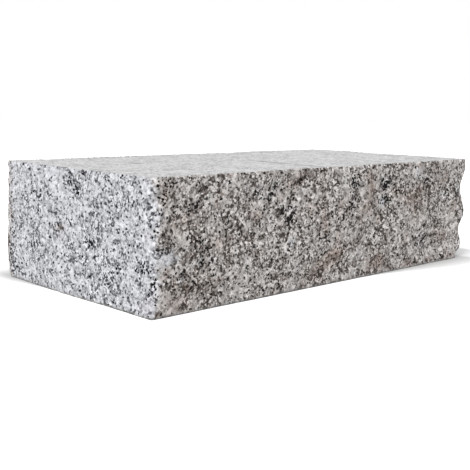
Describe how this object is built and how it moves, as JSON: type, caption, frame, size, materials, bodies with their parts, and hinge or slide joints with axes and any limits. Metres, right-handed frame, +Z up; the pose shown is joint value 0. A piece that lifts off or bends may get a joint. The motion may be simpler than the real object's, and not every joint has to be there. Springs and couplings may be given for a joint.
{
  "type": "granite kerb stone",
  "caption": "Rough-split stone block with a flat sawn top and bed, for kerbs, edging and low walls, lying on its bed.",
  "frame": {"origin": "middle of the bed, the sawn face that the stone lies on", "axes": "+X along the stone's length, +Y from the face side to the back, +Z up out of the bed"},
  "size_m": [0.4088, 0.2083, 0.1],
  "materials": {
    "granite": "light grey granite with dark mica flecks and pale feldspar; sawn top and bed, split sides"
  },
  "bodies": {
    "root": {"kerb_stone": "granite"}
  },
  "joints": []
}
